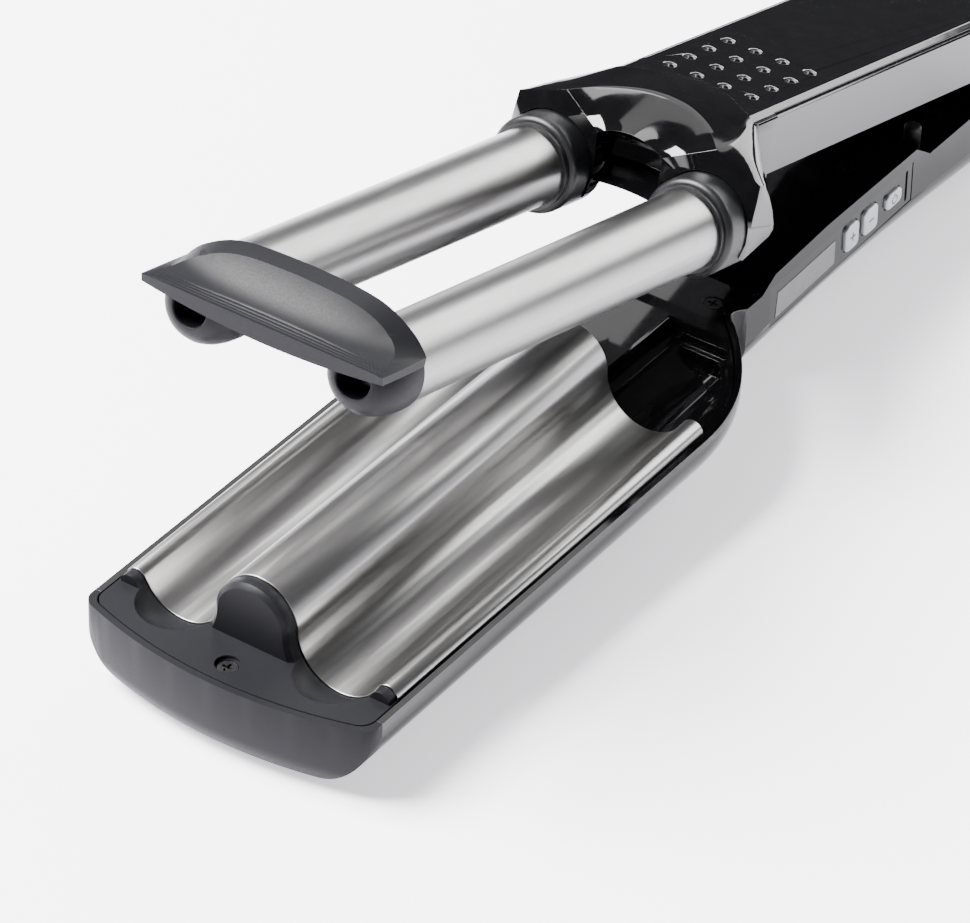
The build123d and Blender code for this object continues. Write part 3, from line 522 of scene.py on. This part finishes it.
def yoke_mesh():
    mesh = bmesh.new()
    crest = smooth_curve([(0, 144, 20.5), (5.5, 143.2, 20.3), (11, 140.7, 19.6), (16, 137.2, 18.6),
                          (20.6, 132.6, 17.3)], HALF_STEPS)
    shoulder = smooth_curve([(20.6, 132.6, 17.3), (27, 132.9, 15.1), (33.2, 133, 12.7)], 6)
    side = vectors((33.2, 133, 12.7), (33.4, 132.6, 9), (33.5, 132, 5.1), (33.5, 132, 2.8),
                   (33.2, 132, 2.45), (33.4, 132, 2.1), (33.4, 132, -1.0), (33.0, 132, -5.6))
    middle = smooth_curve([(0, 152.5, 20.6), (6, 151.6, 20.45), (12, 148.6, 20.0),
                           (17, 144.6, 19.25), (21.4, 140.2, 18.2)], HALF_STEPS)
    middle_low = smooth_curve([(21.4, 140.2, 18.2), (27.6, 137.7, 15.8), (33.0, 135.4, 12.4)], 6)
    middle_side = vectors((33.0, 135.4, 12.4), (33.2, 138.4, 8.8), (33.3, 141.2, 4.6),
                          (33.3, 143.2, 0.6), (33.0, 143.4, 0.25), (33.2, 143.5, -0.1),
                          (33.1, 143.8, -0.9), (32.4, 143.8, -2.8))
    rear = smooth_curve([(0, 160, 20.3), (7, 158, 20.3), (13, 154.2, 20.25), (17.4, 151.2, 20.1),
                         (19.4, 150, 19.4)], HALF_STEPS)
    rear_low = smooth_curve([(19.4, 150, 19.4), (20.3, 150.4, 18.2), (20.4, 152.2, 15.5)], 6)
    rear_side = vectors((20.4, 152.2, 15.5), (20.4, 154.6, 11.5), (20.4, 157.2, 7.5),
                        (20.4, 159.2, 4.2), (20.4, 159.4, 3.9), (20.4, 159.5, 3.5),
                        (20.4, 160, 0.0), (20.4, 160, -2.6))
    nose = crest + shoulder[1:] + side[1:]
    waist = middle + middle_low[1:] + middle_side[1:]
    seam = rear + rear_low[1:] + rear_side[1:]
    rows = station_rows(nose, waist, seam)

    # a groove at the seam, then a sleeve that fits round the arm's handle
    handle = arched(17.5, 0, 0, 19.97)
    handle += vectors((18.1, 0, 19.4), (18.7, 0, 18.85), (19.3, 0, 18.7), (19.7, 0, 18.6),
                      (20.0, 0, 18.2), (20.0, 0, 15.5), (20.0, 0, 11.5), (20.0, 0, 7.5),
                      (20.0, 0, 4.2), (20.0, 0, 4.0), (20.0, 0, 3.9), (20.0, 0, 0.0),
                      (20.0, 0, -2.6))
    rows.append([Vector((p.x * 0.97, p.y + 0.1, p.z - 0.8)) for p in seam])
    rows.append([Vector((h.x, p.y + 0.45, h.z - 0.35)) for p, h in zip(seam, handle)])
    rows.append([Vector((h.x * 1.002, p.y + 0.75, h.z + 0.03)) for p, h in zip(seam, handle)])
    rows.append([Vector((h.x * 1.002, SEAM_END_Y, h.z + 0.03)) for h in handle])
    sheet(mesh, rows, both=True)

    # the scoop on top, ruled from the crest down to the throat
    crease_ends = vectors((20.6, 132.6, 17.3), (8.9, 129.5, 11.6))
    crease = [crease_ends[0].lerp(crease_ends[1], k / 10) for k in range(11)]
    throat = arched(8.9, 129.5, -0.4, 11.6, 2.7)
    scoop = [[a.lerp(b, step / 10) for a, b in zip(crest, throat)] for step in range(11)]
    sheet(mesh, scoop, both=True)

    # the flat face round each collar
    inner = vectors((8.9, 129.5, 11.6), (8.9, 129.7, 8.8), (8.8, 130, 5.5), (8.8, 130.4, 2.5),
                    (8.8, 130.8, -0.6), (9.4, 131.2, -3.2), (10.6, 131.5, -5.9))
    contour = side[::-1] + shoulder[-2::-1] + crease[1:] + inner[1:]
    ring = []
    for radius, y in ((12.2, 130.9), (11.8, 131.4), (11.8, 137.0)):
        line = []
        for p in contour:
            angle = math.atan2(p.z, p.x - AXIS_X)
            x = AXIS_X + radius * math.cos(angle)
            line.append(Vector((x, y, radius * math.sin(angle))))
        ring.append(line)
    sheet(mesh, [contour] + ring, both=True)

    # the dark hollow below the throat
    cave = [throat]
    for y, z, width in ((131.0, 11.9, 8.9), (136.5, 10.6, 9.4), (140.5, 7.0, 9.8),
                        (139.5, 3.4, 9.8), (135.5, 0.9, 9.4), (132.6, -0.2, 9.2),
                        (131.6, -1.0, 9.0), (134.0, FLOOR_LIFT, 9.0), (137.5, FLOOR_LIFT, 9.6)):
        cave.append(arched(width, y, 1.6, z))
    sheet(mesh, cave, both=True)

    floor = []
    for y, half, z in ((137.5, 32.6, -2.9), (143.8, 32.4, -2.8),
                       (152, 27.0, -2.8), (160, 20.4, -2.6)):
        line = []
        for k in range(-12, 13):
            x = half * k / 12
            lifted = abs(x) < 11.2 and y < 153
            line.append(Vector((x, y, FLOOR_LIFT if lifted else z)))
        floor.append(line)
    sheet(mesh, floor)
    return mesh


arm_piece("tip_bridge", bridge_mesh(), "satin_grey", ["bridge"], 0.3)
arm_piece("right_cup", cup_mesh(1), "satin_grey", ["nose_cup_right"], 0.15)
arm_piece("left_cup", cup_mesh(-1), "satin_grey", ["nose_cup_left"], 0.15)
arm_piece("crown", yoke_mesh(), "piano_black", ["yoke_upper", "yoke_lower"], 0.45)


# ---- marks on the keys ----
PANEL_TILT = math.radians(1.7)
PANEL_Y = 208.0          # the control panel leans about this point
PANEL_Z = 2.8
MARK_RINGS = ((20.60, 0.0), (20.73, 0.0), (20.76, 0.04))     # x of each ring and its inset
KEY_Z = 3.0
PLUS_Y = 211.4
MINUS_Y = 219.9
POWER_Y = 230.6
STROKE = (1.2, 0.18)     # half length and half width of the plus and minus strokes


def on_panel(x, y, z):
    dy, dz = y - PANEL_Y, z - PANEL_Z
    return row(x, PANEL_Y + dy * math.cos(PANEL_TILT) - dz * math.sin(PANEL_TILT),
               PANEL_Z + dy * math.sin(PANEL_TILT) + dz * math.cos(PANEL_TILT))


def key_mark(name, body, strokes):
    """Thin raised strokes on a key: (y, z, half length, half height), mm."""
    mesh = bmesh.new()
    for y, z, half_y, half_z in strokes:
        corners = [(y - half_y, z - half_z), (y + half_y, z - half_z),
                   (y + half_y, z + half_z), (y - half_y, z + half_z)]
        rings = []
        for x, inset in MARK_RINGS:
            ring = []
            for cy, cz in corners:
                cy -= inset if cy > y else -inset
                cz -= inset if cz > z else -inset
                ring.append(mesh.verts.new(on_panel(x, cy, cz)))
            rings.append(ring)
        for low, high in zip(rings, rings[1:]):
            for i in range(4):
                mesh.faces.new((low[i], low[(i + 1) % 4], high[(i + 1) % 4], high[i]))
        mesh.faces.new(rings[-1])
    bmesh.ops.recalc_face_normals(mesh, faces=mesh.faces)
    piece = new_piece(name, mesh, "collar_black")
    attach(piece, body)


def power_strokes(y, z):
    """An upright stroke in an open ring of short ones."""
    strokes = [(y, z + 1.1, 0.13, 0.55)]
    for k in range(9):
        angle = math.radians(130 + 35 * k)
        strokes.append((y + 1.15 * math.cos(angle), z - 0.1 + 1.0 * math.sin(angle), 0.2, 0.2))
    return strokes


key_mark("plus_mark", "plus_key", [(PLUS_Y, KEY_Z, *STROKE), (PLUS_Y, KEY_Z, *STROKE[::-1])])
key_mark("minus_mark", "minus_key", [(MINUS_Y, KEY_Z, *STROKE)])
key_mark("power_mark", "power_key", power_strokes(POWER_Y, KEY_Z))


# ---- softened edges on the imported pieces: node and bevel width, mm ----
SOFT_ANGLE = 32.0        # degrees; flatter edges stay as they are
SOFT_SEGMENTS = 2
SOFT_EDGES = {
    "front_shell": 0.5, "head_shell": 0.14, "handle_shell": 0.14,
    "deck_cover": 0.3, "tip_cap": 0.3, "wave_plate": 0.2,
    "arm_shell": 0.4, "arm_top_panel": 0.2, "control_bezel": 0.15,
}
for name, width in SOFT_EDGES.items():
    node = frame["nodes"][name]
    weld = node.modifiers.new("weld", "WELD")
    weld.merge_threshold = 0.00001     # metres
    edge_modifiers(node, width, SOFT_ANGLE, SOFT_SEGMENTS)
